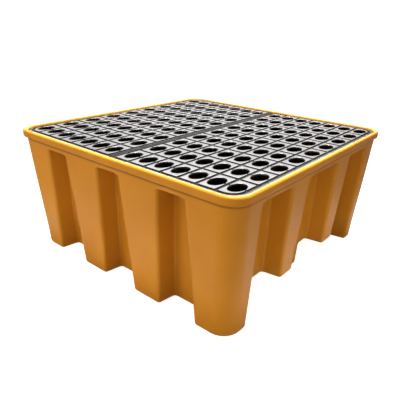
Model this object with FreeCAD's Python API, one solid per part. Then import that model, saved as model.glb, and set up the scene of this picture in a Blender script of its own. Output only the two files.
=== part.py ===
"""Spill containment pallet: a deep one-piece moulded tub on runners, a two-panel lift-out
grating deck, and six loose columns that stand in the sump and carry the deck.

Millimetres.  X runs along the fork tunnels and across the deck joint, Y runs along the
joint, +Z is up.  The origin is on the floor, under the middle of the tub.
"""
import FreeCAD, Part
from BOPTools import SplitAPI
import math
import os

# ---- tub: overall ------------------------------------------------------------------
TUB_HEIGHT = 728.0            # floor to the top of the rim
RIM_HALF = 787.5              # middle of the tub to the outside of the rim
RIM_HEIGHT = 45.0             # depth of the thick band round the top
RIM_CORNER = 88.0             # plan radius of the rim's corners
RIM_EDGE = 10.0               # rounding of the rim's outer edges
RIM_OVERHANG = 11.5           # rim past the wall below it
WALL = 8.0                    # moulded wall thickness
WALL_TAPER = 40.0             # how far each side leans in from the rim to the floor
WALL_CORNER = 100.0           # plan radius of the wall's corners

# ---- tub: recesses in the four sides ---------------------------------------------------
RECESS_DEPTH = 106.0
RECESS_DRAFT = 14.0           # each recess wall leans in by this much over its depth
RECESS_OUTER_ROUND = 18.0     # rounding of the edge between a recess and the outside
RECESS_INNER_ROUND = 15.0     # rounding of the corner at the back of a recess
FOOT_ROUND = 16.0             # rounding round the bottom of the legs

# A side has two corner legs and two middle legs.  "top" is where the recesses stop under
# the rim, "floor" is at the ground.  A corner leg is measured from the side round its corner.
RUNNER_SIDE = {"leg_centre_top": 211.5, "leg_width_top": 265.0, "corner_width_top": 269.0,
               "leg_centre_floor": 212.0, "leg_width_floor": 186.0, "corner_width_floor": 196.0}
FORK_SIDE = {"leg_centre_top": 247.0, "leg_width_top": 172.0, "corner_width_top": 193.0,
             "leg_centre_floor": 243.0, "leg_width_floor": 102.0, "corner_width_floor": 150.0}

# ---- tub: underside ---------------------------------------------------------------------
TUNNEL_HEIGHT = 132.0         # floor to the roof of a fork tunnel
CENTRE_RUNNER_HALF = 82.0     # half the width of the middle runner
OUTER_RUNNER_WIDTH = 82.0     # tunnel wall to the back of a recess, at the floor
TUNNEL_ROUND = 18.0           # rounding of the tunnel roof's corners

# ---- deck ---------------------------------------------------------------------------------
DECK_DROP = 8.0               # rim top above the deck's pads
DECK_DEPTH = 60.0             # pads to the underside of the ribs
DECK_CLEARANCE = 5.5          # gap between the deck and the inside of the tub
PANEL_GAP = 4.0               # gap between the two panels
PANEL_INNER_CORNER = 12.0     # plan radius where the panels meet
CELLS_ACROSS = 7              # cells of one panel along X
CELLS_ALONG = 9               # cells of one panel along Y
PANEL_BORDER = 20.0           # plain flange round the cells
PLATE = 9.0                   # pads to the underside of the top plate
RIB = 6.0                     # rib thickness
GROOVE_WIDTH = 8.0            # groove between two pads
GROOVE_DEPTH = 4.0
HOLE_WIDTH = 72.0             # oval hole across X
HOLE_LENGTH = 103.0           # oval hole along Y

# ---- columns --------------------------------------------------------------------------------
COLUMN_PITCH = 380.0          # between columns along X
COLUMN_DIAMETER = 110.0
COLUMN_WALL = 5.0
END_DIAMETER = 160.0          # flange of the cap and of the foot
END_THICKNESS = 9.0
SPIGOT_LENGTH = 32.0
SPIGOT_WALL = 5.0
SPIGOT_FIT = 0.4              # radial clearance of a spigot in its pipe
SEAT_CLEARANCE = 0.3          # column top below the deck's ribs
RING_CLEARANCE = 1.5          # foot inside its locating ring
RING_WIDTH = 7.0
RING_HEIGHT = 7.0

# ---- worked out -----------------------------------------------------------------------------
DECK_TOP = TUB_HEIGHT - DECK_DROP
DECK_SEAT = DECK_TOP - DECK_DEPTH
RECESS_TOP = DECK_SEAT - WALL
RIM_BOTTOM = TUB_HEIGHT - RIM_HEIGHT
WALL_HALF_TOP = RIM_HALF - RIM_OVERHANG
SUMP_FLOOR = TUNNEL_HEIGHT + WALL


def wall_half(z):
    """Half the width over the outside of the walls at height z."""
    return WALL_HALF_TOP - WALL_TAPER * (RIM_BOTTOM - z) / RIM_BOTTOM


TUNNEL_OUTER = wall_half(0.0) - RECESS_DEPTH - OUTER_RUNNER_WIDTH
TUNNEL_CENTRE = 0.5 * (CENTRE_RUNNER_HALF + TUNNEL_OUTER)
MOUTH_HALF = wall_half(DECK_SEAT) - WALL
MOUTH_CORNER = WALL_CORNER - WALL
DECK_HALF = MOUTH_HALF - DECK_CLEARANCE
DECK_CORNER = MOUTH_CORNER - DECK_CLEARANCE
CELL_X = (DECK_HALF - 0.5 * PANEL_GAP - 2.0 * PANEL_BORDER) / CELLS_ACROSS
CELL_Y = (2.0 * DECK_HALF - 2.0 * PANEL_BORDER) / CELLS_ALONG
COLUMN_HEIGHT = DECK_SEAT - SEAT_CLEARANCE - SUMP_FLOOR


# ---- plan outlines ----------------------------------------------------------------------------
def rounded_loop(corners, z):
    """Closed wire at height z through (x, y, radius) corners, each one an arc."""
    edges = []
    starts = []
    ends = []
    mids = []
    count = len(corners)
    for i, (x, y, radius) in enumerate(corners):
        here = FreeCAD.Vector(x, y, z)
        before = FreeCAD.Vector(corners[i - 1][0], corners[i - 1][1], z)
        after = FreeCAD.Vector(corners[(i + 1) % count][0], corners[(i + 1) % count][1], z)
        back = (before - here).normalize()
        ahead = (after - here).normalize()
        half_angle = 0.5 * back.getAngle(ahead)
        reach = radius / math.tan(half_angle)
        centre = here + (back + ahead).normalize() * (radius / math.sin(half_angle))
        starts.append(here + back * reach)
        ends.append(here + ahead * reach)
        mids.append(centre + (here - centre).normalize() * radius)
    for i in range(count):
        edges.append(Part.Arc(starts[i], mids[i], ends[i]).toShape())
        edges.append(Part.LineSegment(ends[i], starts[(i + 1) % count]).toShape())
    return Part.Wire(edges)


def square_loop(half, radius, z):
    """Rounded square about the origin."""
    corners = [(-half, -half, radius), (half, -half, radius), (half, half, radius), (-half, half, radius)]
    return rounded_loop(corners, z)


def recess_edges(side, z):
    """(start, end) of each of the three recesses along one side at height z."""
    share = z / RECESS_TOP
    centre = side["leg_centre_floor"] + (side["leg_centre_top"] - side["leg_centre_floor"]) * share
    width = side["leg_width_floor"] + (side["leg_width_top"] - side["leg_width_floor"]) * share
    corner_width = side["corner_width_floor"]
    corner_width += (side["corner_width_top"] - side["corner_width_floor"]) * share
    corner = wall_half(z) - corner_width
    inner = centre - 0.5 * width
    outer = centre + 0.5 * width
    return [(-corner, -outer), (-inner, inner), (outer, corner)]


def legged_loop(z, inset):
    """The crenellated outline of the tub at height z, moved inwards by inset."""
    half = wall_half(z) - inset
    lean = math.atan2(RECESS_DRAFT, RECESS_DEPTH)
    shift = inset / math.cos(lean) - inset * math.tan(lean)
    outer_round = max(RECESS_OUTER_ROUND - inset, 2.0)
    inner_round = RECESS_INNER_ROUND + inset
    corners = []
    for turn, side in enumerate((RUNNER_SIDE, FORK_SIDE, RUNNER_SIDE, FORK_SIDE)):
        angle = math.radians(90.0 * turn)
        line = [(-half, half, WALL_CORNER - inset)]
        for start, end in recess_edges(side, z):
            back = half - RECESS_DEPTH
            line.append((start - shift, half, outer_round))
            line.append((start - shift + RECESS_DRAFT, back, inner_round))
            line.append((end + shift - RECESS_DRAFT, back, inner_round))
            line.append((end + shift, half, outer_round))
        for along, out, radius in line:
            x = along * math.cos(angle) + out * math.sin(angle)
            y = along * math.sin(angle) - out * math.cos(angle)
            corners.append((x, y, radius))
    return rounded_loop(corners, z)


def prism(wire, height):
    """Solid standing on a flat wire."""
    return Part.Face(wire).extrude(FreeCAD.Vector(0, 0, height))


def box_between(low, high):
    """Box from its lowest to its highest corner."""
    size = [high[i] - low[i] for i in range(3)]
    return Part.makeBox(size[0], size[1], size[2], FreeCAD.Vector(*low))


# ---- the tub --------------------------------------------------------------------------------------
def legged_body():
    """Outside of the tub from the floor to the top of the recesses, rounded under the legs."""
    sections = []
    for degrees in (0.0, 30.0, 60.0, 90.0):
        angle = math.radians(degrees)
        height = FOOT_ROUND * (1.0 - math.cos(angle))
        sections.append(legged_loop(height, FOOT_ROUND * (1.0 - math.sin(angle))))
    sections.append(legged_loop(RECESS_TOP, 0.0))
    return Part.makeLoft(sections, True, True)


def rim_band():
    """Plain wall above the recesses and the thick rim round the top."""
    low = square_loop(wall_half(RECESS_TOP), WALL_CORNER, RECESS_TOP)
    high = square_loop(wall_half(RIM_BOTTOM), WALL_CORNER, RIM_BOTTOM + 0.5 * RIM_HEIGHT)
    band = Part.makeLoft([low, high], True, True)
    rim = prism(square_loop(RIM_HALF, RIM_CORNER, RIM_BOTTOM), RIM_HEIGHT)
    outer_edges = [edge for edge in rim.Edges if edge.BoundBox.ZLength < 0.01]
    rim = rim.makeFillet(RIM_EDGE, outer_edges)
    return band.fuse(rim)


def tunnel(grow):
    """One fork tunnel on the +Y side, right through along X, its skin grown by grow."""
    reach = RIM_HALF + 50.0
    inner = CENTRE_RUNNER_HALF - grow
    outer = TUNNEL_OUTER + grow
    roof = TUNNEL_HEIGHT + grow
    block = box_between((-reach, inner, -50.0), (reach, outer, roof))
    crown = [edge for edge in block.Edges
             if edge.BoundBox.ZMin > roof - 0.01 and edge.BoundBox.XLength > reach]
    return block.makeFillet(TUNNEL_ROUND + grow, crown)


def mirrored_y(shape):
    """The same shape on the other side of the XZ plane."""
    return shape.mirror(FreeCAD.Vector(0, 0, 0), FreeCAD.Vector(0, 1, 0))


def sump_space():
    """The hollow of the tub: crenellated up to the deck seats, plain above them."""
    lower = Part.makeLoft([legged_loop(WALL, WALL), legged_loop(DECK_SEAT, WALL)], True, True)
    mouth = prism(square_loop(MOUTH_HALF, MOUTH_CORNER, DECK_SEAT), 2.0 * DECK_DEPTH)
    space = lower.fuse(mouth)
    over_tunnel = tunnel(WALL)
    return space.cut(over_tunnel).cut(mirrored_y(over_tunnel))


def locating_ring(x, y):
    """Low ring moulded on the sump floor round a column's foot."""
    inside = 0.5 * END_DIAMETER + RING_CLEARANCE
    base = FreeCAD.Vector(x, y, SUMP_FLOOR)
    outer = Part.makeCylinder(inside + RING_WIDTH, RING_HEIGHT, base)
    return outer.cut(Part.makeCylinder(inside, RING_HEIGHT, base))


def column_places():
    """(x, y) of the six columns, three over each fork tunnel."""
    return [(COLUMN_PITCH * (i - 1), side * TUNNEL_CENTRE) for side in (-1.0, 1.0) for i in range(3)]


def rectangle(corner, along, up):
    """Flat four-sided face with one corner and the two sides that leave it."""
    corner, along, up = FreeCAD.Vector(*corner), FreeCAD.Vector(*along), FreeCAD.Vector(*up)
    points = [corner, corner + along, corner + along + up, corner + up, corner]
    return Part.Face(Part.makePolygon(points))


def leaning_cut(depth, low, high):
    """Surface that follows the walls all round, moved inwards by depth."""
    radius = max(WALL_CORNER - depth, 2.0)
    loops = [square_loop(wall_half(z) - depth, radius, z) for z in (low, high)]
    return Part.makeLoft(loops, False, True)


def joint_surfaces():
    """Where the tub is divided, so that each wall, floor and rim length is a simple solid."""
    reach = RIM_HALF + 20.0
    span = 2.0 * reach
    cuts = [leaning_cut(RECESS_OUTER_ROUND + 1.0, -1.0, RECESS_TOP)]
    cuts.append(leaning_cut(RECESS_DEPTH - RECESS_INNER_ROUND, -1.0, RECESS_TOP))
    cuts.append(leaning_cut(RECESS_DEPTH - 1.0, -1.0, RECESS_TOP))
    cuts.append(leaning_cut(WALL, RECESS_TOP, DECK_SEAT))
    for z in (WALL, RECESS_TOP, DECK_SEAT):
        cuts.append(rectangle((-reach, -reach, z), (span, 0, 0), (0, span, 0)))
    edge = TUNNEL_OUTER + TUNNEL_ROUND + 2.0 * WALL
    for z in (TUNNEL_HEIGHT - TUNNEL_ROUND, SUMP_FLOOR):
        cuts.append(rectangle((-reach, -edge, z), (span, 0, 0), (0, 2.0 * edge, 0)))
    rim_start = MOUTH_HALF - MOUTH_CORNER
    rise = TUB_HEIGHT + 1.0 - DECK_SEAT
    end_wall = wall_half(0.0) - RECESS_DEPTH - WALL - 2.0
    for side in (-1.0, 1.0):
        cuts.append(rectangle((side * end_wall, -edge, -1.0), (0, 2.0 * edge, 0), (0, 0, SUMP_FLOOR + 1.0)))
        for y in (CENTRE_RUNNER_HALF + TUNNEL_ROUND, TUNNEL_OUTER - TUNNEL_ROUND):
            cuts.append(rectangle((-reach, side * y, -1.0), (span, 0, 0), (0, 0, SUMP_FLOOR + 1.0)))
        for other in (-1.0, 1.0):
            out = (other * (reach - rim_start + 20.0), 0, 0)
            start = (other * (rim_start - 20.0), side * rim_start, DECK_SEAT)
            cuts.append(rectangle(start, out, (0, 0, rise)))
            start = (side * rim_start, other * (rim_start - 20.0), DECK_SEAT)
            cuts.append(rectangle(start, (0, out[0], 0), (0, 0, rise)))
            inner = rim_start - RECESS_DEPTH
            diagonal = (side * (reach - inner), other * (reach - inner), 0)
            start = (side * inner, other * inner, -1.0)
            cuts.append(rectangle(start, diagonal, (0, 0, TUB_HEIGHT + 2.0)))
    return cuts


def sump_tub():
    """The whole moulded tub, as simple solids that meet face to face."""
    outside = legged_body().fuse(rim_band())
    through = tunnel(0.0)
    outside = outside.cut(through).cut(mirrored_y(through))
    tub = outside.cut(sump_space()).removeSplitter()
    solids = SplitAPI.slice(tub, joint_surfaces(), "Split").Solids
    return Part.Compound(solids + [locating_ring(x, y) for x, y in column_places()])


# ---- the deck ---------------------------------------------------------------------------------------
def oval_hole(x, y):
    """Oval hole through the deck, long along Y."""
    low = DECK_SEAT - 1.0
    end = FreeCAD.Vector(x, y + 0.5 * HOLE_LENGTH, low)
    side = FreeCAD.Vector(x + 0.5 * HOLE_WIDTH, y, low)
    oval = Part.Ellipse(end, side, FreeCAD.Vector(x, y, low))
    return prism(Part.Wire([oval.toShape()]), DECK_DEPTH + 2.0)


def panel_outline(inset, z):
    """Plan of the right-hand panel moved inwards: big corners outside, small ones at the joint."""
    near = 0.5 * PANEL_GAP + inset
    far = DECK_HALF - inset
    small = max(PANEL_INNER_CORNER - inset, 1.0)
    corners = [(near, -far, small), (far, -far, DECK_CORNER - inset),
               (far, far, DECK_CORNER - inset), (near, far, small)]
    return rounded_loop(corners, z)


def in_deck_corner(x, y):
    """Whether a point lies in one of the deck's outer corner cells."""
    return abs(x) > DECK_HALF - CELL_X and abs(y) > DECK_HALF - CELL_Y


def underside_pocket(x, y):
    """Hollow between four ribs, under one cell."""
    half_x = 0.5 * (CELL_X - RIB)
    half_y = 0.5 * (CELL_Y - RIB)
    top = DECK_TOP - PLATE
    pocket = box_between((x - half_x, y - half_y, DECK_SEAT - 1.0), (x + half_x, y + half_y, top))
    side = math.copysign(1.0, y)
    if in_deck_corner(x + half_x, y + side * half_y):
        inner = min(DECK_CORNER - PANEL_BORDER, half_x, half_y)
        corner = [edge for edge in pocket.Edges if edge.BoundBox.XMin > x + half_x - 0.01
                  and edge.BoundBox.ZLength > 1.0 and side * (edge.BoundBox.YMin - y) > 0.0]
        pocket = pocket.makeFillet(inner, corner)
    return pocket


def grooves():
    """The drainage grooves: straight ones between the pads and one loop round them all."""
    left = 0.5 * PANEL_GAP + PANEL_BORDER
    far = 0.5 * CELLS_ALONG * CELL_Y
    bottom = DECK_TOP - GROOVE_DEPTH
    half = 0.5 * GROOVE_WIDTH
    loop = prism(panel_outline(PANEL_BORDER - half, bottom), 2.0 * GROOVE_DEPTH)
    cuts = [loop.cut(prism(panel_outline(PANEL_BORDER + half, bottom), 2.0 * GROOVE_DEPTH))]
    for i in range(1, CELLS_ACROSS):
        x = left + i * CELL_X
        cuts.append(box_between((x - half, -far, bottom), (x + half, far, DECK_TOP + 1.0)))
    for j in range(1, CELLS_ALONG):
        y = -far + j * CELL_Y
        high = (DECK_HALF - PANEL_BORDER, y + half, DECK_TOP + 1.0)
        cuts.append(box_between((left, y - half, bottom), high))
    return cuts


def cell_centres():
    """(x, y) of every cell of the right-hand panel."""
    left = 0.5 * PANEL_GAP + PANEL_BORDER
    xs = [left + (i + 0.5) * CELL_X for i in range(CELLS_ACROSS)]
    ys = [(j - 0.5 * (CELLS_ALONG - 1)) * CELL_Y for j in range(CELLS_ALONG)]
    return [(x, y) for x in xs for y in ys]


def right_panel():
    """Grating panel: top plate with pads and holes, ribs under the grooves, flange round it."""
    panel = prism(panel_outline(0.0, DECK_SEAT), DECK_DEPTH)
    panel = panel.cut([underside_pocket(x, y) for x, y in cell_centres()])
    panel = panel.cut([oval_hole(x, y) for x, y in cell_centres()])
    return panel.cut(grooves())


def left_panel(panel):
    """The other panel is the same moulding turned end for end."""
    turned = panel.copy()
    turned.rotate(FreeCAD.Vector(0, 0, 0), FreeCAD.Vector(0, 0, 1), 180.0)
    return turned


# ---- the columns ---------------------------------------------------------------------------------------
def column_end(x, y, z, up):
    """Flange with a ring spigot; up is +1 for a foot and -1 for a cap."""
    radius = 0.5 * COLUMN_DIAMETER - COLUMN_WALL - SPIGOT_FIT
    flange_low = z if up > 0 else z - END_THICKNESS
    spigot_low = z + END_THICKNESS if up > 0 else z - END_THICKNESS - SPIGOT_LENGTH
    flange = Part.makeCylinder(0.5 * END_DIAMETER, END_THICKNESS, FreeCAD.Vector(x, y, flange_low))
    outside = Part.makeCylinder(radius, SPIGOT_LENGTH, FreeCAD.Vector(x, y, spigot_low))
    inside = Part.makeCylinder(radius - SPIGOT_WALL, SPIGOT_LENGTH, FreeCAD.Vector(x, y, spigot_low))
    return flange.fuse(outside.cut(inside))


def column_pipe(x, y):
    """Plain pipe between the foot and the cap."""
    base = FreeCAD.Vector(x, y, SUMP_FLOOR + END_THICKNESS)
    length = COLUMN_HEIGHT - 2.0 * END_THICKNESS
    outer = Part.makeCylinder(0.5 * COLUMN_DIAMETER, length, base)
    return outer.cut(Part.makeCylinder(0.5 * COLUMN_DIAMETER - COLUMN_WALL, length, base))


def columns():
    """Six columns, each a foot, a pipe and a cap."""
    nodes = {}
    for number, (x, y) in enumerate(column_places(), start=1):
        nodes["column_foot_%d" % number] = column_end(x, y, SUMP_FLOOR, 1)
        nodes["column_pipe_%d" % number] = column_pipe(x, y)
        nodes["column_cap_%d" % number] = column_end(x, y, SUMP_FLOOR + COLUMN_HEIGHT, -1)
    return nodes


def main():
    """Build every piece and write one STEP file for each."""
    os.makedirs("parts", exist_ok=True)
    panel = right_panel()
    nodes = {"sump_tub": sump_tub(), "deck_panel_right": panel, "deck_panel_left": left_panel(panel)}
    nodes.update(columns())
    for name, shape in nodes.items():
        shape.exportStep(os.path.join("parts", name + ".step"))
        litres = shape.Volume / 1e6
        print(name, "valid", shape.isValid(), "solids", len(shape.Solids), "litres %.2f" % litres)


main()
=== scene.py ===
# %% [markdown]
# # Spill containment pallet
# A deep plastic tub catches what leaks from the containers that stand on its black grating.
# The engineering model gives the sizes and the moving pieces, and this file gives the looks.
# The tub and the two deck panels are modelled again here as smooth surfaces with the soft
# edges that moulding leaves, because the engineering model has sharp ones. The columns in
# the sump are right as they are, so they keep their shape and only get a finish.

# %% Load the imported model
import math
import bpy
import bmesh
import numpy as np
from mathutils import Matrix, Vector


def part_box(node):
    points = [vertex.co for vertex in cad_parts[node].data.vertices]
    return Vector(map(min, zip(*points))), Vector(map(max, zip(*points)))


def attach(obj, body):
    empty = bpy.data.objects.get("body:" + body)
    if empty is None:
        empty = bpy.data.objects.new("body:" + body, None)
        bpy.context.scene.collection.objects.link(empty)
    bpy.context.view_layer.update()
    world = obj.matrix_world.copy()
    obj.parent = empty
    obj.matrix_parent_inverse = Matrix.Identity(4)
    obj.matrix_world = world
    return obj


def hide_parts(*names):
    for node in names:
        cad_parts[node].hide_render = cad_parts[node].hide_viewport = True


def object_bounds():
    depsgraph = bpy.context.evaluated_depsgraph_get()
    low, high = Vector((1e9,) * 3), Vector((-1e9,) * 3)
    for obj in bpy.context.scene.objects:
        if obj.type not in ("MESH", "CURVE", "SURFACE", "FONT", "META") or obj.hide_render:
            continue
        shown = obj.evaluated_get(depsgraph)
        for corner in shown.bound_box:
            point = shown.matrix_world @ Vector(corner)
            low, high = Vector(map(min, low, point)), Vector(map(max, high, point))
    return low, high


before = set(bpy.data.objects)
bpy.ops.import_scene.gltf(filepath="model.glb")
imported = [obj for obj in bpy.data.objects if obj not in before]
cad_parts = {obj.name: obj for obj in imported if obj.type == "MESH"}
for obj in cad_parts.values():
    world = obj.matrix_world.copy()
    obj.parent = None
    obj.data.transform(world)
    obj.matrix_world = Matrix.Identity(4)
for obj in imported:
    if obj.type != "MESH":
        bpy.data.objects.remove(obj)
cad_low, cad_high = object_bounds()
print("model box", [round(v, 4) for v in cad_low], [round(v, 4) for v in cad_high])

# %% [markdown]
# ## Camera
# The view is from the front right and a little above, near enough for strong perspective:
# the near corner looks much taller than the far ones. A camera's own axes are right, up and
# backwards, so the columns of its turn are written out from those three directions.

# %% Camera
camera_data = bpy.data.cameras.new("view_camera")
camera_data.sensor_width = 36.0
camera_data.lens = 37.406
camera_data.shift_x = -0.02414
camera_data.clip_start = 0.05
camera_data.clip_end = 200.0
camera = bpy.data.objects.new("view_camera", camera_data)
bpy.context.scene.collection.objects.link(camera)
turn_vector = Vector((1.87937233, 0.687197497, -0.409253067))
world_to_view = Matrix.Rotation(turn_vector.length, 3, turn_vector.normalized())
right, down, ahead = world_to_view[0], world_to_view[1], world_to_view[2]
camera_turn = Matrix((right, -down, -ahead)).transposed().to_4x4()
camera.matrix_world = Matrix.Translation((1.56985, -1.94723, 1.32869)) @ camera_turn
bpy.context.scene.camera = camera
print("camera looks along", [round(v, 3) for v in ahead])

# %% [markdown]
# ## Floor and light
# The studio is a pale floor that runs off to a white surround. What the viewer sees behind the
# pallet is brighter than what lights it, so the background stays clean while the plastic
# keeps its depth. Two wide panels stand behind the pallet, where only the shiny tops of the
# deck pads can mirror them towards the viewer. A key light in front gives the long side its
# even glow, a weak one reaches into the short side, and a narrow one overhead lights the rim.

# %% Floor and light
bpy.context.scene.view_settings.view_transform = "Standard"
world = bpy.data.worlds.new("studio_surround")
bpy.context.scene.world = world
world.use_nodes = True
surround = world.node_tree.nodes["Background"]
surround.inputs["Color"].default_value = (1.0, 0.9, 0.84, 1.0)
surround.inputs["Strength"].default_value = 0.6
backdrop = world.node_tree.nodes.new("ShaderNodeBackground")
backdrop.inputs["Strength"].default_value = 1.6
seen_or_felt = world.node_tree.nodes.new("ShaderNodeMixShader")
ray = world.node_tree.nodes.new("ShaderNodeLightPath")
world.node_tree.links.new(ray.outputs["Is Camera Ray"], seen_or_felt.inputs["Fac"])
world.node_tree.links.new(surround.outputs["Background"], seen_or_felt.inputs[1])
world.node_tree.links.new(backdrop.outputs["Background"], seen_or_felt.inputs[2])
world_output = world.node_tree.nodes["World Output"]
world.node_tree.links.new(seen_or_felt.outputs["Shader"], world_output.inputs["Surface"])


def studio_floor(half_width):
    """Flat square at height zero, reaching half_width each way."""
    mesh = bpy.data.meshes.new("studio_floor")
    h = half_width
    mesh.from_pydata([(-h, -h, 0), (h, -h, 0), (h, h, 0), (-h, h, 0)], [], [(0, 1, 2, 3)])
    floor = bpy.data.objects.new("studio_floor", mesh)
    bpy.context.scene.collection.objects.link(floor)
    return floor


def soft_light(name, place, target, size, power):
    """Rectangular light of the given width and height at place, facing target, hidden from view."""
    data = bpy.data.lights.new(name, "AREA")
    data.shape = "RECTANGLE"
    data.size, data.size_y = size
    data.energy = power
    light = bpy.data.objects.new(name, data)
    bpy.context.scene.collection.objects.link(light)
    away = Vector(place) - Vector(target)
    light.matrix_world = Matrix.Translation(place) @ away.to_track_quat("Z", "Y").to_matrix().to_4x4()
    light.visible_camera = False
    return light


floor = studio_floor(60.0)
soft_light("back_panel", (-4.6, 5.0, 2.9), (0.0, 0.0, 0.7), (8.4, 3.2), 130.0)
soft_light("upper_panel", (-2.9, 3.9, 3.7), (0.2, -0.4, 0.7), (4.0, 1.8), 100.0)
soft_light("key_panel", (-1.7, -4.6, 2.3), (0.0, 0.0, 0.4), (2.4, 2.0), 92.0)
soft_light("side_panel", (3.4, -3.6, 0.9), (0.6, 0.3, 0.35), (1.2, 1.0), 20.0)
top_panel = soft_light("top_panel", (-0.1, 0.3, 3.4), (0.0, 0.0, 0.7), (1.9, 1.9), 92.0)
top_panel.data.spread = math.radians(35.0)

# %% [markdown]
# ## From a grid to a mesh
# Every moulded surface here is a grid: rows follow each other up, over and down the section,
# and each row is a closed loop round the piece. Two neighbouring rows make a belt of
# four-sided faces. Sizes are written in millimetres, as on a drawing, and become metres last.

# %% Grid and mesh helpers
MM = 0.001


def belts(rows, columns):
    """Faces between neighbouring closed rows: corner k of row r joins corner k + 1 and row r + 1."""
    r, c = np.meshgrid(np.arange(rows - 1), np.arange(columns), indexing="ij")
    n = (c + 1) % columns
    faces = np.stack([r * columns + c, r * columns + n, (r + 1) * columns + n, (r + 1) * columns + c], -1)
    return faces.reshape(-1, 4)


def moulded_piece(name, points, faces, weld=0.0, marks=None):
    """Mesh object from millimetre points; marks is one value a point for the materials to read."""
    mesh = bpy.data.meshes.new(name)
    mesh.from_pydata((np.asarray(points) * MM).tolist(), [], faces)
    if marks is not None:
        layer = mesh.attributes.new("dull_and_shaded", "FLOAT", "POINT")
        layer.data.foreach_set("value", np.asarray(marks, np.float32))
    shape = bmesh.new()
    shape.from_mesh(mesh)
    if weld:
        bmesh.ops.remove_doubles(shape, verts=shape.verts, dist=weld * MM)
    bmesh.ops.recalc_face_normals(shape, faces=shape.faces)
    shape.to_mesh(mesh)
    shape.free()
    mesh.polygons.foreach_set("use_smooth", np.ones(len(mesh.polygons), bool))
    mesh.update()
    piece = bpy.data.objects.new(name, mesh)
    bpy.context.scene.collection.objects.link(piece)
    weighted = piece.modifiers.new("flat_faces_stay_flat", "WEIGHTED_NORMAL")
    weighted.weight = 60
    return piece


# %% [markdown]
# ## Plan of the tub
# Seen from above, the wall runs in and out round twelve recesses, which leave eight middle
# legs and four corner legs. The outline is a polygon with every corner rounded. A corner is
# an arc that touches both of its sides, and the sides between arcs are straight. The outline
# is drawn once at the floor and once under the deck, and any height between is a blend.

# %% Sizes of the tub
half_over_rim = cad_high.x / MM
rim_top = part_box("sump_tub")[1].z / MM
rim_height, rim_overhang = 45.0, 11.5
wall_top_half, wall_lean, wall_corner = half_over_rim - rim_overhang, 40.0, 100.0
wall = 8.0
deck_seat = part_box("deck_panel_right")[0].z / MM
roof = deck_seat - wall
recess_depth, recess_draft = 106.0, 14.0
outer_round, inner_round = 18.0, 15.0
foot_round, roof_round, sump_round = 16.0, 14.0, 12.0
tunnel_roof, tunnel_round, runner_half, outer_runner = 132.0, 18.0, 82.0, 82.0
runner_side = dict(centre=(212.0, 211.5), width=(186.0, 265.0), corner=(196.0, 269.0))
fork_side = dict(centre=(243.0, 247.0), width=(102.0, 172.0), corner=(150.0, 193.0))
print("over the rim", 2 * half_over_rim, "rim top", rim_top, "deck seat", round(deck_seat, 2))


def half_at(z):
    """Half the width over the walls at height z: the walls lean in evenly towards the floor."""
    return wall_top_half - wall_lean * (rim_top - rim_height - z) / (rim_top - rim_height)


tunnel_outer = half_at(0.0) - recess_depth - outer_runner

# %% Corners and straights


def corner_arc(before, here, after, radius, count):
    """Arc of count points that rounds a corner.

    It starts radius / tan(half the corner's angle) back along one side and ends as far along
    the other; its centre lies on the line that halves the angle.
    """
    a, p, b = (np.array(v, float) for v in (before, here, after))
    back = (a - p) / np.linalg.norm(a - p)
    ahead = (b - p) / np.linalg.norm(b - p)
    half_angle = 0.5 * math.acos(float(np.clip(back @ ahead, -1.0, 1.0)))
    halver = (back + ahead) / np.linalg.norm(back + ahead)
    centre = p + halver * radius / math.sin(half_angle)
    start = p + back * radius / math.tan(half_angle) - centre
    end = p + ahead * radius / math.tan(half_angle) - centre
    angle = math.atan2(start[1], start[0])
    sweep = (math.atan2(end[1], end[0]) - angle + math.pi) % (2.0 * math.pi) - math.pi
    angles = angle + sweep * np.linspace(0.0, 1.0, count)
    return centre + radius * np.stack([np.cos(angles), np.sin(angles)], -1)


def straight(start, end, shares):
    """Points between start and end at the given shares of the way."""
    return np.asarray(start) + np.asarray(shares)[:, None] * (np.asarray(end) - np.asarray(start))


# %% One side of the outline
CORNER_COUNT, OUTER_COUNT, INNER_COUNT = 19, 8, 7
evenly = {n: np.arange(1, n + 1) / (n + 1.0) for n in (1, 3, 4, 5)}
tunnel_steps = np.array([-9.0, -6.5, -3.0, -1.0, 1.5, 3.9, 10.5, 19.5])


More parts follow.
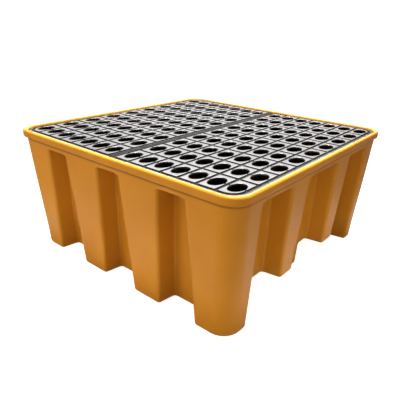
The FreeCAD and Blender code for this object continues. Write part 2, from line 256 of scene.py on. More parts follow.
def side_points(side, z, inset, shrink, back_shares):
    """Half outline of one side in (along, out), with what each point belongs to.

    inset moves the whole wall inwards; shrink makes the recesses smaller at their backs.
    """
    share = z / roof
    centre, width, corner = (a + (b - a) * share for a, b in (side["centre"], side["width"], side["corner"]))
    half = half_at(z) - inset
    back = half - recess_depth + shrink
    lean = math.atan2(recess_draft, recess_depth)
    shift = inset / math.cos(lean) - inset * math.tan(lean)
    draft = recess_draft * (recess_depth - shrink) / recess_depth + shrink
    edges = [(-(half_at(z) - corner), -(centre + width / 2)), (-(centre - width / 2), centre - width / 2),
             (centre + width / 2, half_at(z) - corner)]
    turn = np.radians(np.linspace(0.0, 90.0, CORNER_COUNT))
    radius = wall_corner - inset
    points = [np.stack([-half + radius - radius * np.cos(turn), half - radius + radius * np.sin(turn)], -1)]
    recess = [np.zeros(CORNER_COUNT)]
    last = points[0][-1]
    for number, (start, end) in enumerate(edges):
        path = [last, (start - shift, half), (start - shift + draft, back),
                (end + shift - draft, back), (end + shift, half), (half, half)]
        mouth = (max(outer_round - inset, 4.0), OUTER_COUNT)
        depth = (inner_round + inset - 0.5 * shrink, INNER_COUNT)
        arcs = [corner_arc(path[i], path[i + 1], path[i + 2], r, n)
                for i, (r, n) in enumerate([mouth, depth, depth, mouth])]
        leg_face = straight(last, arcs[0][0], evenly[4])
        shares = back_shares[number]
        inside = [arcs[0], straight(arcs[0][-1], arcs[1][0], evenly[3]), arcs[1],
                  straight(arcs[1][-1], arcs[2][0], shares), arcs[2],
                  straight(arcs[2][-1], arcs[3][0], evenly[3]), arcs[3]]
        points += [leg_face] + inside
        recess += [np.zeros(len(leg_face))] + [np.ones(len(part)) for part in inside]
        last = arcs[3][-1]
    end_face = straight(last, (half - radius, half), evenly[4])
    return np.concatenate(points + [end_face]), np.concatenate(recess + [np.zeros(4)])


def fork_shares():
    """Shares along the back of each fork-side recess that put points at the tunnel's edges."""
    middle = runner_half + tunnel_steps
    middle = np.concatenate([[-130.0], -middle[::-1], [-36.0, 0.0, 36.0], middle, [130.0]])
    outer = np.concatenate([[380.0, 440.0, 495.0], tunnel_outer - tunnel_steps[::-1]])
    probe = side_points(fork_side, 0.0, 0.0, 0.0, [evenly[1]] * 3)[0]
    start = CORNER_COUNT + 4
    block = 2 * OUTER_COUNT + 2 * INNER_COUNT + 7
    arcs = []
    for number in range(3):
        first = start + number * (block + 4) + OUTER_COUNT + 3 + INNER_COUNT - 1
        arcs.append((probe[first, 0], probe[first + 2, 0]))
    middle_shares = (middle - arcs[1][0]) / (arcs[1][1] - arcs[1][0])
    outer_shares = (outer - arcs[2][0]) / (arcs[2][1] - arcs[2][0])
    return [1.0 - outer_shares[::-1], middle_shares, outer_shares]


fork_back = fork_shares()
runner_back = [evenly[5]] * 3
print("shares at a tunnel mouth", np.round(fork_back[2], 3).tolist())

# %% The whole outline


def outline(z, inset=0.0, shrink=0.0):
    """All four sides turned into place: x = a cos t + o sin t, y = a sin t - o cos t.

    Gives (x, y), then for each point its side's angle t, (along, out) and recess mark.
    """
    plans, turns, locals_, marks = [], [], [], []
    for quarter in range(4):
        side, shares = (runner_side, runner_back) if quarter % 2 == 0 else (fork_side, fork_back)
        ao, mark = side_points(side, z, inset, shrink, shares)
        t = math.radians(90.0 * quarter)
        plans.append(np.stack([ao[:, 0] * math.cos(t) + ao[:, 1] * math.sin(t),
                               ao[:, 0] * math.sin(t) - ao[:, 1] * math.cos(t)], -1))
        turns.append(np.full(len(ao), t))
        locals_.append(ao)
        marks.append(mark)
    return np.concatenate(plans), np.concatenate(turns), np.concatenate(locals_), np.concatenate(marks)


floor_plan, side_turn, _, in_recess = outline(0.0)
count = len(floor_plan)
print("points round the tub", count)

# %% [markdown]
# ## Height of the underside
# Two tunnels for truck forks run right through under the tub along X. Above a tunnel the
# wall's lower edge is as high as the tunnel's roof, with rounded corners; elsewhere it stands
# on the floor. The same rule with the wall's thickness added gives the sump's own floor.

# %% Lower edge of the wall at each point


def lower_edge(thickness):
    """Height of the lower edge: 0 off a tunnel, up a quarter circle of the corner, then the roof."""
    tunnel_middle = 0.5 * (tunnel_outer + runner_half)
    inside = 0.5 * (tunnel_outer - runner_half) - np.abs(np.abs(floor_plan[:, 1]) - tunnel_middle)
    reach = tunnel_round + thickness
    across = np.clip(19.5 - inside, 0.0, reach)
    crown = tunnel_roof - tunnel_round + np.sqrt(reach ** 2 - across ** 2)
    over_tunnel = np.where(inside >= 19.5, tunnel_roof + thickness, crown)
    return np.where(inside <= -thickness + 0.5, thickness, over_tunnel)


outer_edge = lower_edge(0.0)
inner_edge = lower_edge(wall)
print("outer edge heights", outer_edge.min(), outer_edge.max())
print("sump floors", inner_edge.min(), inner_edge.max())

# %% Rows of the tub


def leaning_row(z, inset=0.0, shrink=0.0, keep=1.0):
    """One row of the crenellated wall at heights z, blended between the floor and roof outlines.

    keep pulls recess points out to the plain side: out = side + keep (out - side).
    """
    low = outline(0.0, inset, shrink)[2]
    high = outline(roof, inset, shrink)[2]
    z = np.broadcast_to(np.asarray(z, float), (count,))
    local = low + (high - low) * (z / roof)[:, None]
    plain = half_at(z) - inset
    out = np.where(in_recess > 0, plain + keep * (local[:, 1] - plain), local[:, 1])
    x = local[:, 0] * np.cos(side_turn) + out * np.sin(side_turn)
    y = local[:, 0] * np.sin(side_turn) - out * np.cos(side_turn)
    return np.stack([x, y, z], -1)


top_local = outline(roof)[2]
on_corner = np.concatenate([np.r_[np.ones(CORNER_COUNT), np.zeros((side_turn == t).sum() - CORNER_COUNT)]
                            for t in np.unique(side_turn)]).astype(bool)
corner_swing = np.tile(np.radians(np.linspace(0.0, 90.0, CORNER_COUNT)), 4)


def plain_row(z, half, radius):
    """One row of a rounded square: straight points keep their share of the side, corners swing."""
    base = half_at(roof) - wall_corner
    along = top_local[:, 0] * (half - radius) / base
    out = np.full(count, float(half))
    along[on_corner] = -(half - radius) - radius * np.cos(corner_swing)
    out[on_corner] = (half - radius) + radius * np.sin(corner_swing)
    x = along * np.cos(side_turn) + out * np.sin(side_turn)
    y = along * np.sin(side_turn) - out * np.cos(side_turn)
    return np.stack([x, y, np.full(count, float(z))], -1)


def outer_rows():
    """From the underside's edge round the foot, up the wall and out under the rim."""
    rows = []
    for t in np.radians([0.0, 22.5, 45.0, 67.5, 90.0]):
        rows.append(leaning_row(outer_edge + foot_round * (1 - math.cos(t)),
                                inset=foot_round * (1 - math.sin(t))))
    wall_start, wall_end = outer_edge + foot_round, roof - roof_round
    for share in np.linspace(0.0, 1.0, 12)[1:]:
        rows.append(leaning_row(wall_start + share * (wall_end - wall_start)))
    for t in np.radians([30.0, 60.0, 90.0]):
        rows.append(leaning_row(wall_end + roof_round * math.sin(t), shrink=roof_round * (1 - math.cos(t))))
    for keep in (0.7, 0.4, 0.2):
        rows.append(leaning_row(roof, shrink=roof_round, keep=keep))
    for t in np.radians([20.0, 45.0, 70.0, 90.0]):
        rows.append(leaning_row(roof + 9.0 * (1 - math.cos(t)), shrink=roof_round,
                                keep=0.11 * (1 - math.sin(t))))
    rows.append(plain_row(roof + 17.0, half_at(roof + 17.0), wall_corner))
    return rows


# Each entry is out from the rim's outside, up from its top, and the plan radius of its corners.
rim_section = [(-11.7, -47.5, 99.5), (-11.3, -45.6, 98.0), (-9.6, -44.6, 96.0), (-6.8, -44.0, 93.0),
               (-3.8, -42.2, 90.5), (-1.4, -39.0, 89.0), (-0.2, -35.0, 88.0), (0.0, -30.0, 88.0),
               (0.0, -22.0, 88.0), (0.0, -14.0, 88.0), (-0.3, -9.5, 87.7), (-1.6, -5.6, 86.4),
               (-3.9, -2.6, 84.1), (-6.9, -0.8, 81.5), (-10.2, 0.0, 82.0), (-13.4, -0.1, 84.5),
               (-16.4, -1.1, 87.5), (-18.8, -3.0, 90.2), (-20.3, -5.9, 91.6), (-20.85, -9.5, 92.0),
               (-20.85, -20.0, 92.0), (-20.85, -45.0, 92.0), (-20.85, -66.0, 92.0)]


def inner_rows():
    """Across the deck's seat, then down the inside of the crenellated wall to the sump floor."""
    rows = [leaning_row(deck_seat, inset=wall, keep=k) for k in (0.02, 0.3, 0.6, 0.9)]
    rows.append(leaning_row(deck_seat - 1.5, inset=wall, keep=0.975))
    wall_end = deck_seat - 6.0
    rows.append(leaning_row(wall_end, inset=wall))
    for share in np.linspace(0.0, 1.0, 9)[1:]:
        rows.append(leaning_row(wall_end + share * (inner_edge + sump_round - wall_end), inset=wall))
    for t in np.radians([30.0, 60.0, 90.0]):
        rows.append(leaning_row(inner_edge + sump_round * (1 - math.sin(t)),
                                inset=wall + sump_round * (1 - math.cos(t))))
    return rows


rim_rows = [plain_row(rim_top + dz, half_over_rim + dx, r) for dx, dz, r in rim_section]
tub_rows = outer_rows() + rim_rows + inner_rows()
print("rows", len(tub_rows), "rim rows", len(rim_rows))

# %% [markdown]
# ## Undersides and sump floors
# The first row is the edge of the underside and the last is the edge of the sump floor. Each
# is closed by flat faces: one for the middle runner, two over the tunnels, two for the outer
# runners, and long strips for the tunnels' upright walls and rounded roof corners.

# %% Close the bottom, outside and inside


def closing_faces(first, heights, low, high):
    """Flat faces between the points of one row; first is that row's first number."""
    index = np.arange(count)
    at_low, at_high = np.abs(heights - low) < 0.01, np.abs(heights - high) < 0.01
    y = floor_plan[:, 1]
    right_hand, left_hand = floor_plan[:, 0] > 600.0, floor_plan[:, 0] < -600.0
    across = np.abs(y) < tunnel_outer + 15.0
    faces = []

    def between(mask):
        rightwards = index[mask & right_hand & across]
        leftwards = index[mask & left_hand & across]
        return rightwards[np.argsort(y[rightwards])].tolist(), leftwards[np.argsort(-y[leftwards])].tolist()

    middle = between(at_low & (np.abs(y) < runner_half + 1.0))
    faces.append(middle[0] + middle[1])
    for sign in (-1.0, 1.0):
        over = between(at_high & (sign * y > 0))
        faces.append(over[0] + over[1])
        start = int(np.argmin(np.hypot(floor_plan[:, 0] - sign * 630.0, y - sign * 560.0)))
        ring = index[at_low & (sign * y > tunnel_outer - 10.0)]
        order = np.argsort((ring - start) % count)
        faces.append(ring[order].tolist())
        for near, far in ((runner_half - 12.0, runner_half + 20.0),
                          (tunnel_outer - 20.0, tunnel_outer + 12.0)):
            strip = (sign * y > near) & (sign * y < far)
            a, b = between(strip)
            b = b[::-1]
            edge = heights[a]
            for k in range(len(a) - 1):
                if abs(edge[k] - edge[k + 1]) > 0.01:
                    faces.append([a[k], a[k + 1], b[k + 1], b[k]])
    return [[first + i for i in face] for face in faces]


tub_points = np.concatenate(tub_rows)
tub_faces = belts(len(tub_rows), count).tolist()
tub_faces += closing_faces(0, outer_edge, 0.0, tunnel_roof)
tub_faces += closing_faces((len(tub_rows) - 1) * count, inner_edge, wall, tunnel_roof + wall)
print("tub grid points", len(tub_points), "faces", len(tub_faces))

# %% [markdown]
# ## Rings on the sump floor
# A column's foot stands inside a low ring moulded on the floor over a tunnel. A ring is a
# small rounded section turned about the column's axis; its underside is sunk in the floor.

# %% Locating rings, and the finished tub
ring_steps = 72
ring_section = np.array([(88.5, 139.0), (88.5, 145.6), (88.1, 146.6), (87.1, 147.0),
                         (82.9, 147.0), (81.9, 146.6), (81.5, 145.6), (81.5, 139.0)])
ring_places = [(x, y) for x in (-380.0, 0.0, 380.0) for y in (-315.0, 315.0)]


def locating_ring(x, y):
    """Section turned about (x, y): out from the axis by radius cos t and radius sin t."""
    turn = np.linspace(0.0, 2.0 * np.pi, ring_steps, endpoint=False)
    radius, height = ring_section[:, :1], ring_section[:, 1:] + 0.0 * turn
    ring = [x + radius * np.cos(turn), y + radius * np.sin(turn), height]
    return np.stack(ring, axis=-1).reshape(-1, 3)


lap = np.arange(ring_steps)
after = (lap + 1) % ring_steps
last_row = (len(ring_section) - 1) * ring_steps
ring_underside = np.column_stack([last_row + lap, last_row + after, after, lap])
ring_faces = np.concatenate([belts(len(ring_section), ring_steps), ring_underside])
for x, y in ring_places:
    tub_faces += (ring_faces + len(tub_points)).tolist()
    tub_points = np.concatenate([tub_points, locating_ring(x, y)])
tub = moulded_piece("tub_moulding", tub_points, tub_faces)
print("tub faces", len(tub.data.polygons))
print("tub box", [[round(v, 4) for v in tub.bound_box[corner]] for corner in (0, 6)])
edge_users = bmesh.new()
edge_users.from_mesh(tub.data)
print("open edges on the tub", sum(1 for e in edge_users.edges if len(e.link_faces) != 2))
edge_users.free()
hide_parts("sump_tub")
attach(tub, "tub")

# %% [markdown]
# ## Deck grating
# Each of the two panels is a moulded grating of 63 cells. A cell is a raised pad with an oval
# hole, and grooves between the pads lead spilled liquid to thin notches that open into the
# holes. Underneath, ribs run below the grooves. One cell is a closed tube of rows: from the
# rib's underside up to the plate, through the hole, over the pad and down into the groove.

# %% Sizes of the deck
deck_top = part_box("deck_panel_right")[1].z / MM
deck_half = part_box("deck_panel_right")[1].x / MM
joint_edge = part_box("deck_panel_right")[0].x / MM
border = 20.0
cells_across, cells_along = 7, 9
cell_half_x = 0.5 * (deck_half - joint_edge - 2 * border) / cells_across
cell_half_y = (deck_half - border) / cells_along
hole_a, hole_b = 36.0, 51.5
big_corner = 66.5
print("deck top", round(deck_top, 2), "cell", round(2 * cell_half_x, 2), "x", round(2 * cell_half_y, 2))

# %% Loops of one cell
ARC = 7
notch_end = 7.6
notch = np.array([2.8, 3.4, notch_end])
long_steps = np.array([0.25, 0.52, 0.8])
short_steps = np.linspace(0.0, 1.0, 11)[1:-1]


def long_side(low, high):
    """Places along a long side from low to high: close at the notch in the middle, then even steps."""
    up = np.concatenate([notch, notch_end + long_steps * (high - notch_end)])
    down = np.concatenate([notch, notch_end + long_steps * (-low - notch_end)])
    return np.concatenate([-down[::-1], [0.0], up])


def quarter_turn(x, y, radius, first_degrees):
    """Quarter circle of the given radius that rounds the corner at (x, y)."""
    t = np.radians(first_degrees + np.linspace(0.0, 90.0, ARC))
    centre = np.array([x - math.copysign(radius, x), y - math.copysign(radius, y)])
    return centre + radius * np.stack([np.cos(t), np.sin(t)], -1)


def box_loop(x0, x1, y0, y1, radii):
    """Rectangle with rounded corners, radii for the (+,+), (-,+), (-,-) and (+,-) corners."""
    pp, mp, mm, pm = radii
    right_low, right_high = y0 + pm, y1 - pp
    left_low, left_high = y0 + mm, y1 - mp
    ys, yl = long_side(right_low, right_high), long_side(left_low, left_high)[::-1]
    top = (x1 - pp) + short_steps * ((x0 + mp) - (x1 - pp))
    low = (x0 + mm) + short_steps * ((x1 - pm) - (x0 + mm))
    return np.concatenate([
        quarter_turn(x1, y0, pm, 270.0), np.stack([np.full(len(ys), x1), ys], -1),
        quarter_turn(x1, y1, pp, 0.0), np.stack([top, np.full(len(top), y1)], -1),
        quarter_turn(x0, y1, mp, 90.0), np.stack([np.full(len(yl), x0), yl], -1),
        quarter_turn(x0, y0, mm, 180.0), np.stack([low, np.full(len(low), y0)], -1)])


def oval_loop(a, b, swings):
    """Oval x = a cos t, y = b sin t, with t chosen so that each point faces its partner on the box.

    swings are the (start, end) angles that face the (+,+), (-,+), (-,-) and (+,-) corners.
    """
    pp, mp, mm, pm = [np.radians(np.linspace(s, e, ARC)) for s, e in swings]
    ys = long_side(b * math.sin(pm[-1]), b * math.sin(pp[0]))
    yl = long_side(b * math.sin(mm[0]), b * math.sin(mp[-1]))[::-1]
    t = np.concatenate([pm, np.arcsin(ys / b), pp, pp[-1] + short_steps * (mp[0] - pp[-1]), mp,
                        math.pi - np.arcsin(yl / b), mm, mm[-1] + short_steps * (pm[0] - mm[-1])])
    return np.stack([a * np.cos(t), b * np.sin(t)], -1)


def corner_swings(rounded):
    """Angles on the oval that face the corners; a big round corner takes a wide share."""
    usual = [(50.0, 58.0), (122.0, 130.0), (230.0, 238.0), (302.0, 310.0)]
    wide = [(15.0, 104.0), (76.0, 165.0), (195.0, 284.0), (256.0, 345.0)]
    return [wide[k] if rounded[k] else usual[k] for k in range(4)]


notch_marks = np.abs(box_loop(-1.0, 1.0, -60.0, 60.0, (0.0,) * 4)[:, 1]) < 3.0
notch_marks &= np.abs(box_loop(-1.0, 1.0, -60.0, 60.0, (0.0,) * 4)[:, 0]) > 0.999
cell_count = len(notch_marks)
print("points round a cell", cell_count, "in notches", int(notch_marks.sum()))

# %% Rows of one cell
groove_floor = -5.2
pad_rows = [(notch_end, groove_floor), (7.8, -1.6), (8.2, -0.6), (9.0, 0.0)]


def cell_rows(rounded):
    """(height, loop, matte) of each row of a cell centred at zero, from the rib's foot to the groove."""
    hx, hy = cell_half_x, cell_half_y

    def box(inset, small):
        radii = [big_corner - inset if r else small for r in rounded]
        return box_loop(-hx + inset, hx - inset, -hy + inset, hy - inset, radii)

    def oval(grow):
        return oval_loop(hole_a + grow, hole_b + grow, corner_swings(rounded))

    rows = [(-60.0, box(0.0, 0.0), 1.0), (-60.0, box(2.3, 0.3), 1.0), (-59.2, box(2.9, 0.6), 1.0),
            (-11.5, box(3.4, 1.5), 1.0), (-9.0, box(6.0, 3.0), 1.0), (-9.0, oval(0.6), 1.0),
            (-8.2, oval(0.0), 0.8), (-2.0, oval(0.0), 0.4), (-0.7, oval(0.5), 0.0), (0.0, oval(1.9), 0.0)]
    rows += [(dz, box(inset, 2.5), 0.0 if dz > -0.3 else 1.0) for inset, dz in pad_rows[::-1]]
    return rows + [(-5.5, box(5.6, 1.5), 1.0), (-5.5, box(0.0, 0.0), 1.0)]


flange_rows = [(0.0, -60.0), (18.6, -60.0), (19.7, -58.8), (20.0, -56.0), (20.0, -4.6),
               (19.7, -3.0), (18.8, -1.9), (17.4, -1.5), (8.6, -1.5), (7.6, -1.9),
               (7.0, -3.0), (6.8, -5.2), (5.6, -5.5), (0.0, -5.5)]


def flange_strip(sides, rounded):
    """Rows of the plain border outside a cell's outer sides, and the numbers of its loop points.

    A row is the cell's box moved outwards on those sides only; at a corner it swings round.
    """
    starts = [ARC - 1, ARC - 1 + 13 + ARC, ARC - 1 + 13 + ARC + 9 + ARC, ARC - 1 + 2 * (13 + ARC) + 9 + ARC]
    lengths = [15, 11, 15, 11]
    first, last = sides[0], sides[-1]
    total = (starts[last] + lengths[last] - starts[first]) % cell_count
    pick = (starts[first] + np.arange(total)) % cell_count
    hx, hy = cell_half_x, cell_half_y
    corner_sides = [(0, 1), (1, 2), (2, 3), (3, 0)]
    rows = []
    for out, dz in flange_rows:
        grown = [out if k in sides else 0.0 for k in range(4)]
        radii = [(big_corner + out if rounded[k] else out) if set(corner_sides[k]) <= set(sides) else 0.0
                 for k in range(4)]
        loop = box_loop(-hx - grown[2], hx + grown[0], -hy - grown[3], hy + grown[1], radii)
        rows.append((dz, loop[pick]))
    return rows


# %% One whole panel


def panel_grid():
    """All points, faces and matte marks of the right-hand panel, cell by cell."""
    points, faces, marks = [], [], []
    base = 0
    for i in range(cells_across):
        for j in range(cells_along):
            centre = np.array([joint_edge + border + (2 * i + 1) * cell_half_x,
                               (2 * j + 1 - cells_along) * cell_half_y])
            far, near = i == cells_across - 1, i == 0
            high, low = j == cells_along - 1, j == 0
            rounded = [far and high, False, False, far and low]
            rows = cell_rows(rounded)
            for dz, loop, dull_and_shaded in rows:
                z = np.full(cell_count, dz)
                z[notch_marks & (dz > groove_floor)] = groove_floor
                points.append(np.column_stack([loop + centre, deck_top + z]))
                marks.append(np.where(notch_marks, max(dull_and_shaded, 0.9), dull_and_shaded))
            faces += (belts(len(rows), cell_count) + base).tolist()
            base += len(rows) * cell_count
            sides = [k for k, outer in enumerate((far, high, near, low)) if outer]
            if not sides:
                continue
            if sides == [0, 3]:
                sides = [3, 0]
            strip = flange_strip(sides, rounded)
            width = len(strip[0][1])
            for dz, loop in strip:
                points.append(np.column_stack([loop + centre, np.full(width, deck_top + dz)]))
                marks.append(np.full(width, 1.0 if dz < -1.8 or near else 0.3))
            r, c = np.meshgrid(np.arange(len(strip) - 1), np.arange(width - 1), indexing="ij")
            here, above = r * width + c, (r + 1) * width + c
            quads = np.stack([here, here + 1, above + 1, above], -1)
            faces += (quads.reshape(-1, 4) + base).tolist()
            base += len(strip) * width
    return np.concatenate(points), faces, np.concatenate(marks)


panel_points, panel_faces, panel_marks = panel_grid()
panels = {}
for side, turn in (("right", 1.0), ("left", -1.0)):
    place = panel_points * np.array([turn, turn, 1.0])
    panel = moulded_piece("grating_" + side, place, panel_faces, weld=0.02, marks=panel_marks)
    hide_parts("deck_panel_" + side)
    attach(panel, "panel_" + side)
    panels[side] = panel
    probe = bmesh.new()
    probe.from_mesh(panel.data)
    print(panel.name, "faces", len(probe.faces), "triangles", sum(len(f.verts) - 2 for f in probe.faces),
          "open edges", sum(1 for e in probe.edges if len(e.link_faces) != 2))
    probe.free()

# %% [markdown]
# ## Shared surface effects
# Three effects turn up in more than one finish, so each is built once as a node group and
# placed in a material with its own numbers. The grain is the fine orange-peel skin that a
# mould leaves, with a slow drift of tone. The scuffs are short pale scratches, thickest near
# the floor, where a pallet is dragged. The dust lies only on faces that look up; on the tub it
# is laid on thickly, so there it is partly dust and partly a painted highlight that turns the rim's top
# cream.

# %% Node group helpers


def new_group(name, inputs, outputs):
    """Empty node group with (name, kind, value) inputs and (name, kind) outputs."""
    group = bpy.data.node_groups.new(name, "ShaderNodeTree")
    for label, kind, value in inputs:
        socket = group.interface.new_socket(name=label, in_out="INPUT", socket_type=kind)
        if value is not None:
            socket.default_value = value
    for label, kind in outputs:
        group.interface.new_socket(name=label, in_out="OUTPUT", socket_type=kind)
    return group, group.nodes.new("NodeGroupInput"), group.nodes.new("NodeGroupOutput")


def noise(tree, vector, scale, detail=3.0, roughness=0.55):
    """Noise texture on the given coordinates; scale is a number or a socket."""
    node = tree.nodes.new("ShaderNodeTexNoise")
    node.inputs["Detail"].default_value = detail
    node.inputs["Roughness"].default_value = roughness
    tree.links.new(vector, node.inputs["Vector"])
    if isinstance(scale, (int, float)):
        node.inputs["Scale"].default_value = scale
    else:
        tree.links.new(scale, node.inputs["Scale"])
    return node.outputs["Fac"]


def spread(tree, value, low, high, to_low=0.0, to_high=1.0):
    """Stretches a value from low..high to to_low..to_high, and stops it there."""
    node = tree.nodes.new("ShaderNodeMapRange")
    tree.links.new(value, node.inputs["Value"])
    for label, number in (("From Min", low), ("From Max", high), ("To Min", to_low), ("To Max", to_high)):
        node.inputs[label].default_value = number
    return node.outputs["Result"]


def maths(tree, kind, a, b):
    """One arithmetic node; a and b are sockets or numbers."""
    node = tree.nodes.new("ShaderNodeMath")
    node.operation = kind
    for socket, value in zip(node.inputs, (a, b)):
        if isinstance(value, (int, float)):
            socket.default_value = value
        else:
            tree.links.new(value, socket)
    return node.outputs["Value"]


# %% Moulded grain
grain_group, grain_in, grain_out = new_group(
    "moulded_grain", [("Coordinates", "NodeSocketVector", None), ("Grain Scale", "NodeSocketFloat", 420.0),
                      ("Drift Scale", "NodeSocketFloat", 3.0)],
    [("Grain", "NodeSocketFloat"), ("Drift", "NodeSocketFloat")])
fine = noise(grain_group, grain_in.outputs["Coordinates"], grain_in.outputs["Grain Scale"], 2.0)
slow = noise(grain_group, grain_in.outputs["Coordinates"], grain_in.outputs["Drift Scale"], 3.0)
grain_group.links.new(fine, grain_out.inputs["Grain"])
grain_group.links.new(spread(grain_group, slow, 0.3, 0.7), grain_out.inputs["Drift"])
print("group", grain_group.name, [s.name for s in grain_group.interface.items_tree])

# %% Scuffs
scuff_group, scuff_in, scuff_out = new_group(
    "handling_scuffs", [("Coordinates", "NodeSocketVector", None), ("Everywhere", "NodeSocketFloat", 0.05),
                        ("Near Floor", "NodeSocketFloat", 0.6)],
    [("Mask", "NodeSocketFloat")])
stretch = scuff_group.nodes.new("ShaderNodeMapping")
stretch.inputs["Scale"].default_value = (14.0, 14.0, 90.0)
stretch.inputs["Rotation"].default_value = (0.25, 0.18, 0.0)
scuff_group.links.new(scuff_in.outputs["Coordinates"], stretch.inputs["Vector"])
lines = spread(scuff_group, noise(scuff_group, stretch.outputs["Vector"], 1.6, 4.0, 0.7), 0.60, 0.72)
patches = spread(scuff_group, noise(scuff_group, scuff_in.outputs["Coordinates"], 5.0, 2.0), 0.42, 0.62)
split = scuff_group.nodes.new("ShaderNodeSeparateXYZ")
scuff_group.links.new(scuff_in.outputs["Coordinates"], split.inputs["Vector"])
low_down = spread(scuff_group, split.outputs["Z"], 0.0, 0.14, 1.0, 0.0)
amount = maths(scuff_group, "ADD", scuff_in.outputs["Everywhere"],
               maths(scuff_group, "MULTIPLY", low_down, scuff_in.outputs["Near Floor"]))
marks_out = maths(scuff_group, "MULTIPLY", maths(scuff_group, "MULTIPLY", lines, patches), amount)
scuff_group.links.new(marks_out, scuff_out.inputs["Mask"])
print("group", scuff_group.name)

# %% Settled dust and painted top highlight
dust_and_highlight_group, dust_in, dust_out = new_group(
    "dust_and_painted_top_highlight", [("Coordinates", "NodeSocketVector", None), ("Amount", "NodeSocketFloat", 0.3)],
    [("Mask", "NodeSocketFloat")])
surface = dust_and_highlight_group.nodes.new("ShaderNodeNewGeometry")
facing = dust_and_highlight_group.nodes.new("ShaderNodeSeparateXYZ")
dust_and_highlight_group.links.new(surface.outputs["Normal"], facing.inputs["Vector"])
level = spread(dust_and_highlight_group, facing.outputs["Z"], 0.75, 1.0)
clumps = spread(dust_and_highlight_group, noise(dust_and_highlight_group, dust_in.outputs["Coordinates"], 38.0, 4.0, 0.65), 0.38, 0.7)
lying = maths(dust_and_highlight_group, "MULTIPLY", maths(dust_and_highlight_group, "MULTIPLY", level, clumps), dust_in.outputs["Amount"])
dust_and_highlight_group.links.new(lying, dust_out.inputs["Mask"])
print("group", dust_and_highlight_group.name)

# %% [markdown]
# ## Finishes
# The tub is one colour all through, a warm yellow-orange polyethylene with a satin skin, and
# a thin dark line of painted shade runs in the crease below the rim. The
# deck is black and glossy on the tops of the pads, where the mould was polished, and dull in
# the grooves and on the joint between the panels, where its black is also painted a little
# darker as painted shade; a value stored in the mesh says which.
# Inside, the columns are plain grey pipe with dull black ends. The floor glows faintly where
# the viewer sees it, which keeps it white without lighting the pallet from below.

# %% Material helpers


def new_finish(name, base, roughness, specular):
    """Material with its shader, the constants set on the shader itself, and object coordinates."""
    material = bpy.data.materials.new(name)
    material.use_nodes = True
    tree = material.node_tree
    shader = tree.nodes["Principled BSDF"]
    shader.inputs["Base Color"].default_value = (*base, 1.0)
    shader.inputs["Roughness"].default_value = roughness
    shader.inputs["Specular IOR Level"].default_value = specular
    place = tree.nodes.new("ShaderNodeTexCoord").outputs["Object"]
    return material, tree, shader, place


def placed(tree, group, place, **values):
    """A shared group in a material, fed with coordinates and its own values."""
    node = tree.nodes.new("ShaderNodeGroup")
    node.node_tree = group
    tree.links.new(place, node.inputs["Coordinates"])
    for label, value in values.items():
        node.inputs[label.replace("_", " ")].default_value = value
    return node


def two_tone(tree, factor, first, second):
    """Colour that goes from first to second as factor goes from 0 to 1; either may be a socket."""
    node = tree.nodes.new("ShaderNodeMix")
    node.data_type = "RGBA"
    tree.links.new(factor, node.inputs[0])
    for socket, value in ((node.inputs[6], first), (node.inputs[7], second)):
        if isinstance(value, tuple):
            socket.default_value = (*value, 1.0)
        else:
            tree.links.new(value, socket)
    return node.outputs[2]


def relief(tree, height, distance, strength, normal=None):
    """Bump from a height, on top of another bump when one is given."""
    node = tree.nodes.new("ShaderNodeBump")
    node.inputs["Distance"].default_value = distance
    node.inputs["Strength"].default_value = strength
    tree.links.new(height, node.inputs["Height"])
    if normal is not None:
        tree.links.new(normal, node.inputs["Normal"])
    return node.outputs["Normal"]


# %% Tub plastic
tub_finish, tree, shader, place = new_finish("satin_orange_polyethylene", (0.52, 0.19, 0.012), 0.34, 0.12)
grain = placed(tree, grain_group, place, Grain_Scale=420.0, Drift_Scale=2.6)
scuffs = placed(tree, scuff_group, place, Everywhere=0.03, Near_Floor=0.5)
# Up-facing tops go towards a pale tan: partly dust, partly a painted highlight that turns the rim's top
# cream.
dust = placed(tree, dust_and_highlight_group, place, Amount=0.4)
toned = two_tone(tree, grain.outputs["Drift"], (0.47, 0.178, 0.010), (0.54, 0.212, 0.014))
scuffed = two_tone(tree, scuffs.outputs["Mask"], toned, (0.74, 0.46, 0.16))
dust_and_highlight_tint = two_tone(tree, dust.outputs["Mask"], scuffed, (0.6, 0.46, 0.3))
height = tree.nodes.new("ShaderNodeSeparateXYZ")
tree.links.new(place, height.inputs["Vector"])
# Painted shade: a dark band just under the rim's lip, where the crease would be in shadow, set by height in
# the colour.
below_lip = maths(tree, "MULTIPLY", spread(tree, height.outputs["Z"], 0.668, 0.680),
                  spread(tree, height.outputs["Z"], 0.683, 0.688, 1.0, 0.0))
painted_crease_shade = two_tone(tree, maths(tree, "MULTIPLY", below_lip, 0.75), dust_and_highlight_tint, (0.10, 0.035, 0.004))
tree.links.new(painted_crease_shade, shader.inputs["Base Color"])
sheen = maths(tree, "ADD", spread(tree, grain.outputs["Drift"], 0.0, 1.0, 0.28, 0.38),
              maths(tree, "MULTIPLY", scuffs.outputs["Mask"], 0.35))
uneven = maths(tree, "ADD", sheen, maths(tree, "MULTIPLY", grain.outputs["Grain"], 0.06))
tree.links.new(uneven, shader.inputs["Roughness"])
waves = noise(tree, place, 5.0, 1.0)
skin = relief(tree, waves, 0.006, 0.25)
tree.links.new(relief(tree, grain.outputs["Grain"], 0.0004, 0.35, skin), shader.inputs["Normal"])
tub.data.materials.append(tub_finish)
print("finish", tub_finish.name, "nodes", len(tree.nodes))

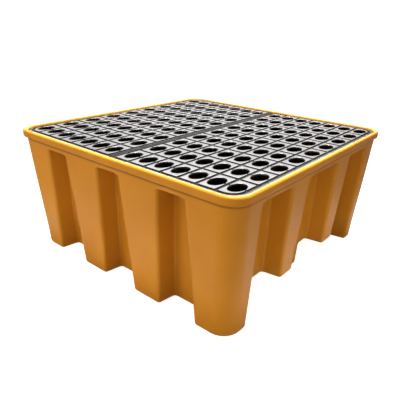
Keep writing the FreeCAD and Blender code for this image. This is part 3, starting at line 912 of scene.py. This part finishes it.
# %% Deck plastic
deck_finish, tree, shader, place = new_finish("black_deck_polymer", (0.012, 0.012, 0.013), 0.16, 0.5)
dull_and_shaded = tree.nodes.new("ShaderNodeAttribute")
dull_and_shaded.attribute_name = "dull_and_shaded"
grain = placed(tree, grain_group, place, Grain_Scale=700.0, Drift_Scale=9.0)
scuffs = placed(tree, scuff_group, place, Everywhere=0.35, Near_Floor=0.0)
dust = placed(tree, dust_and_highlight_group, place, Amount=0.10)
# The places marked dull get a slightly darker black: painted shade that keeps the grooves and holes black,
# and the same darker tone on the joint strip.
toned = two_tone(tree, dull_and_shaded.outputs["Fac"], (0.012, 0.012, 0.013), (0.007, 0.007, 0.0075))
scuffed = two_tone(tree, scuffs.outputs["Mask"], toned, (0.10, 0.10, 0.10))
dust_and_highlight_tint = two_tone(tree, dust.outputs["Mask"], scuffed, (0.22, 0.20, 0.17))
tree.links.new(dust_and_highlight_tint, shader.inputs["Base Color"])
shine = spread(tree, dull_and_shaded.outputs["Fac"], 0.0, 1.0, 0.55, 0.08)
tree.links.new(shine, shader.inputs["Specular IOR Level"])
polish = spread(tree, dull_and_shaded.outputs["Fac"], 0.0, 1.0, 0.16, 0.85)
polish = maths(tree, "ADD", polish, maths(tree, "MULTIPLY", grain.outputs["Drift"], 0.07))
polish = maths(tree, "ADD", polish, maths(tree, "MULTIPLY", scuffs.outputs["Mask"], 0.25))
tree.links.new(polish, shader.inputs["Roughness"])
waves = noise(tree, place, 26.0, 1.0)
skin = relief(tree, waves, 0.002, 0.12)
tree.links.new(relief(tree, grain.outputs["Grain"], 0.0002, 0.25, skin), shader.inputs["Normal"])
for panel in panels.values():
    panel.data.materials.append(deck_finish)
print("finish", deck_finish.name, "nodes", len(tree.nodes))

# %% Column finishes
pipe_finish, tree, shader, place = new_finish("grey_pipe", (0.25, 0.26, 0.27), 0.34, 0.45)
grain = placed(tree, grain_group, place, Grain_Scale=300.0, Drift_Scale=7.0)
scuffs = placed(tree, scuff_group, place, Everywhere=0.5, Near_Floor=0.0)
toned = two_tone(tree, grain.outputs["Drift"], (0.235, 0.245, 0.255), (0.27, 0.28, 0.29))
tree.links.new(two_tone(tree, scuffs.outputs["Mask"], toned, (0.42, 0.42, 0.42)), shader.inputs["Base Color"])
tree.links.new(spread(tree, grain.outputs["Drift"], 0.0, 1.0, 0.30, 0.42), shader.inputs["Roughness"])
tree.links.new(relief(tree, grain.outputs["Grain"], 0.0003, 0.2), shader.inputs["Normal"])

end_finish, tree, shader, place = new_finish("dull_black_ends", (0.02, 0.02, 0.021), 0.5, 0.4)
grain = placed(tree, grain_group, place, Grain_Scale=500.0, Drift_Scale=12.0)
dust = placed(tree, dust_and_highlight_group, place, Amount=0.4)
toned = two_tone(tree, grain.outputs["Drift"], (0.018, 0.018, 0.019), (0.03, 0.03, 0.031))
tree.links.new(two_tone(tree, dust.outputs["Mask"], toned, (0.2, 0.18, 0.15)), shader.inputs["Base Color"])
tree.links.new(spread(tree, grain.outputs["Grain"], 0.3, 0.7, 0.42, 0.58), shader.inputs["Roughness"])
tree.links.new(relief(tree, grain.outputs["Grain"], 0.0004, 0.4), shader.inputs["Normal"])

for name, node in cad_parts.items():
    if name.startswith("column_"):
        finish = pipe_finish if "pipe" in name else end_finish
        for slot_place in node.material_slots:
            slot_place.material = finish
print("columns finished", sum(1 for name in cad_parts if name.startswith("column_")))

# %% Floor finish
floor_finish, tree, shader, place = new_finish("pale_floor", (0.4, 0.4, 0.4), 0.9, 0.1)
shader.inputs["Emission Color"].default_value = (1.0, 1.0, 1.0, 1.0)
ray = tree.nodes.new("ShaderNodeLightPath")
glow = maths(tree, "MULTIPLY", ray.outputs["Is Camera Ray"], 0.93)
tree.links.new(glow, shader.inputs["Emission Strength"])
floor.data.materials.append(floor_finish)
